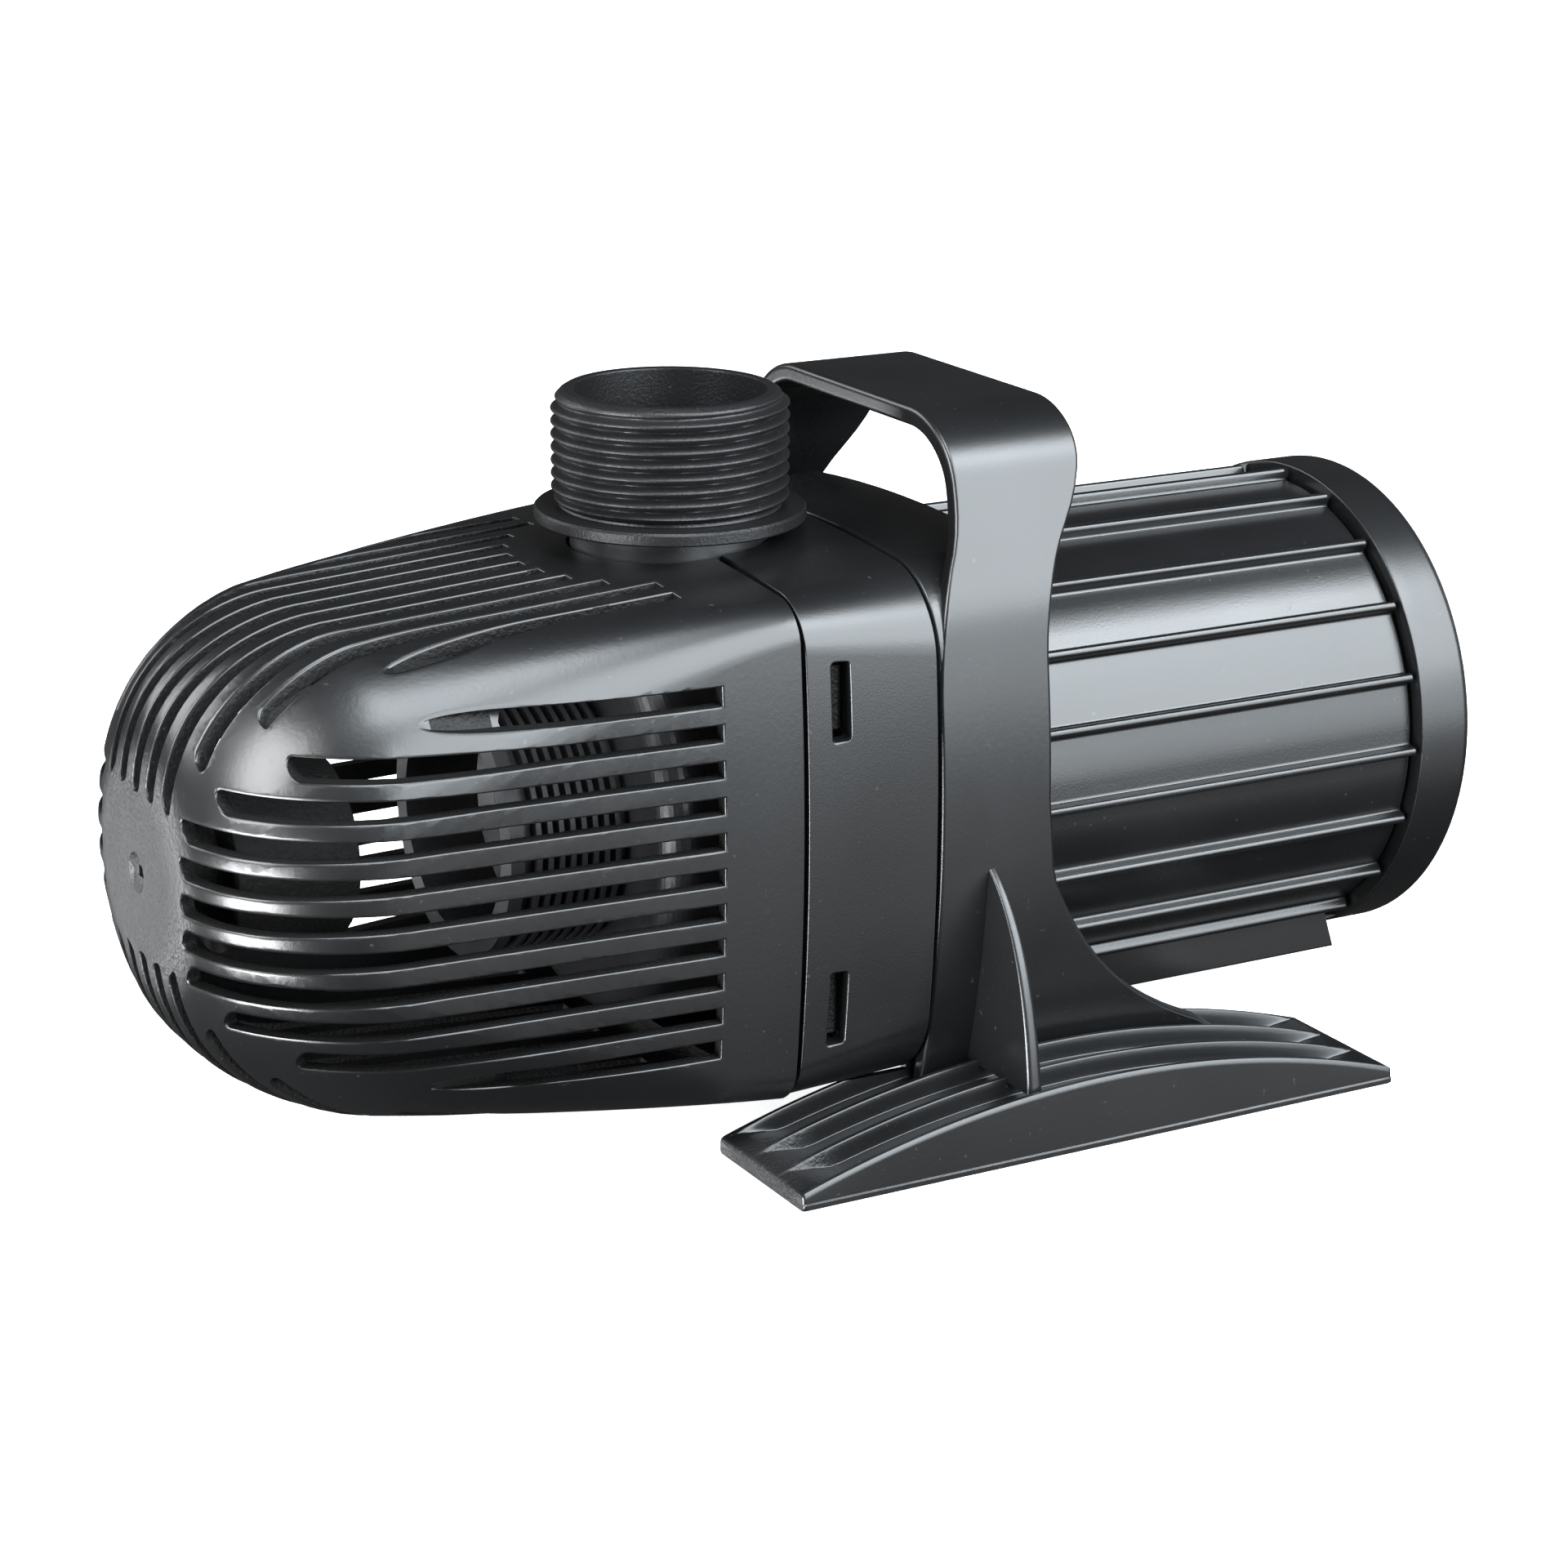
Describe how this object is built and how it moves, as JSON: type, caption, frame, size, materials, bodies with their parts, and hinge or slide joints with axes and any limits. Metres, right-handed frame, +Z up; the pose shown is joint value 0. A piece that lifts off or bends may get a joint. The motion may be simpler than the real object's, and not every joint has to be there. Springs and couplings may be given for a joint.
{
  "type": "submersible fountain pump",
  "caption": "Submersible fountain pump: slotted strainer cage, clip ring, ribbed motor housing with end cap, threaded top outlet, bracket with arched feet and carrying handle.",
  "frame": {"origin": "on the surface the feet stand on, under the centre of the part's outer box", "axes": "+X along the pump axis from the strainer nose to the cable gland, +Z up along the outlet axis, -Y the near side"},
  "size_m": [0.261, 0.1342, 0.1283],
  "materials": {
    "cage_plastic": "satin moulded black plastic, bead-blasted at the nose",
    "ring_plastic": "satin moulded black plastic",
    "bracket_plastic": "satin moulded black plastic",
    "housing_plastic": "satin moulded black plastic with gloss ribs",
    "cap_plastic": "satin moulded black plastic",
    "outlet_plastic": "matte moulded dark grey plastic",
    "chamber_plastic": "moulded black plastic",
    "intake_plastic": "moulded black plastic",
    "impeller_plastic": "moulded off-white plastic",
    "can_plastic": "moulded glass-filled plastic",
    "gland_plastic": "moulded black nylon",
    "seal_rubber": "soft black rubber",
    "stainless_screw": "plain stainless steel",
    "ceramic": "ground ceramic",
    "rotor_magnet": "sintered ferrite, ground",
    "core_steel": "stacked steel laminations",
    "coil_copper": "enamelled copper winding",
    "potting_resin": "cast resin"
  },
  "bodies": {
    "pump_body": {"strainer_ring": "ring_plastic", "stand_bracket": "bracket_plastic", "bracket_screws": "stainless_screw", "motor_housing": "housing_plastic", "motor_end_cap": "cap_plastic", "end_cap_seal": "seal_rubber", "outlet_adapter": "outlet_plastic", "outlet_seal": "seal_rubber", "volute_body": "chamber_plastic", "volute_cover": "chamber_plastic", "volute_screws": "stainless_screw", "volute_seal": "seal_rubber", "intake_sleeve": "intake_plastic", "rotor_shaft": "ceramic", "front_shaft_cup": "seal_rubber", "rear_shaft_cup": "seal_rubber", "thrust_washers": "ceramic", "rotor_can": "can_plastic", "motor_seal": "seal_rubber", "stator_core": "core_steel", "stator_coils": "coil_copper", "potting_ring": "potting_resin", "gland_body": "gland_plastic", "gland_nut": "gland_plastic", "cable_seal": "seal_rubber"},
    "strainer": {"strainer_cage": "cage_plastic"},
    "rotor": {"impeller": "impeller_plastic", "rotor_magnet": "rotor_magnet", "front_rotor_bush": "ceramic", "rear_rotor_bush": "ceramic"}
  },
  "joints": [
    {"name": "cage_slide", "type": "slide", "parent": "pump_body", "child": "strainer", "axis": [-1, 0, 0], "range_m": [0, 0.115]},
    {"name": "rotor_spin", "type": "hinge", "parent": "pump_body", "child": "rotor", "pos_m": [0, 0, 0.055], "axis": [1, 0, 0], "continuous": true}
  ]
}
